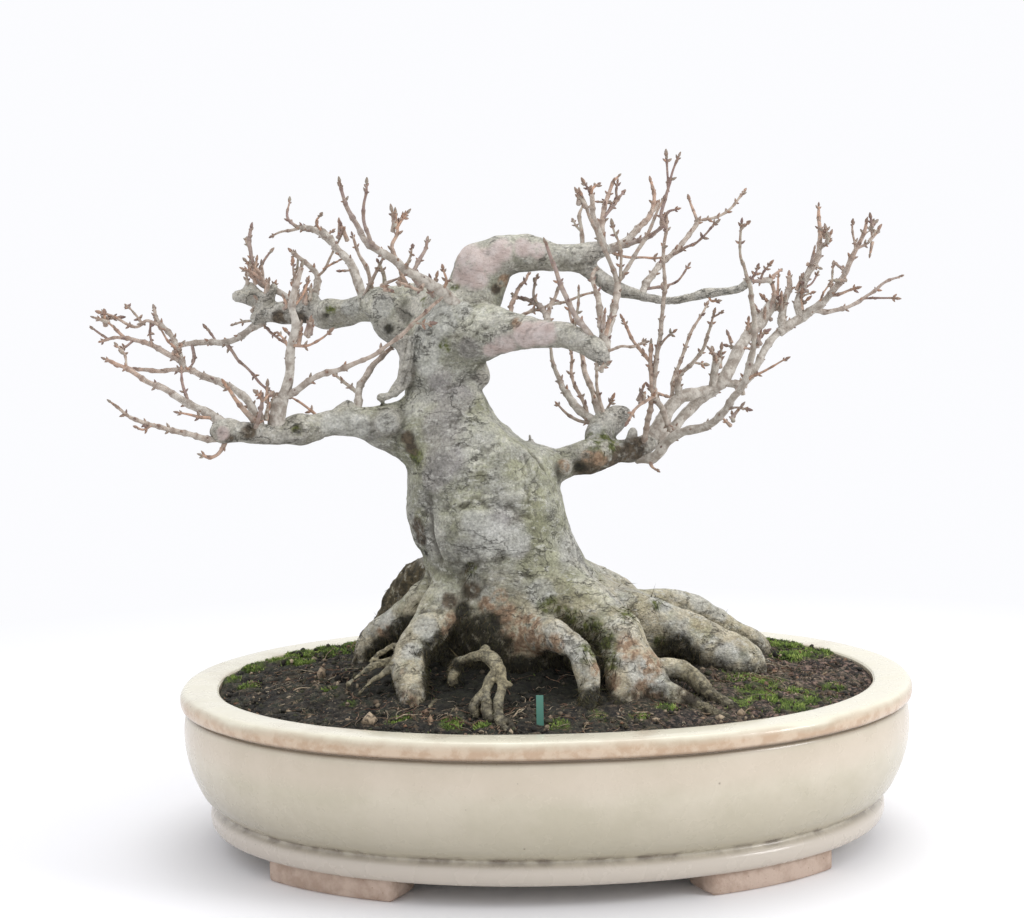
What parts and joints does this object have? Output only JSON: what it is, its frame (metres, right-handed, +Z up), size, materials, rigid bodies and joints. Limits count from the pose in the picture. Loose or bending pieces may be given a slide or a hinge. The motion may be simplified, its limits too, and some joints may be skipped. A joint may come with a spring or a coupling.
{
  "type": "trident maple shohin bonsai",
  "caption": "Small leafless trident maple with a flaring trunk, surface roots and fine twigs, in an oval glazed footed pot filled with soil.",
  "frame": {"origin": "middle of the bounding box, on the table the pot's feet stand on", "axes": "+Z up, +X to the right of the tree's front as the picture shows it, along the pot's length, +Y away from the front"},
  "size_m": [0.3064, 0.2106, 0.2482],
  "materials": {
    "glaze": "satin to glossy pale greenish cream glaze, with a salmon to tan tone on the rolled lip",
    "foot_clay": "matt unglazed pinkish tan clay with fine dark specks",
    "bark": "matt grey to grey-green bark with pale pinkish scars, twigs orange-brown to purple-brown",
    "soil": "moist dark granular soil with bits of moss and rootlets",
    "stake_plastic": "matt teal plastic",
    "screen_plastic": "matt black plastic mesh",
    "wire": "dull soft wire"
  },
  "bodies": {
    "root": {"pot": "glaze", "foot_front_left": "foot_clay", "foot_front_right": "foot_clay", "foot_back_left": "foot_clay", "foot_back_right": "foot_clay", "soil": "soil", "tree": "bark", "label_stake": "stake_plastic", "drain_screen_left": "screen_plastic", "drain_screen_right": "screen_plastic", "screen_staple_left": "wire", "screen_staple_right": "wire"}
  },
  "joints": []
}
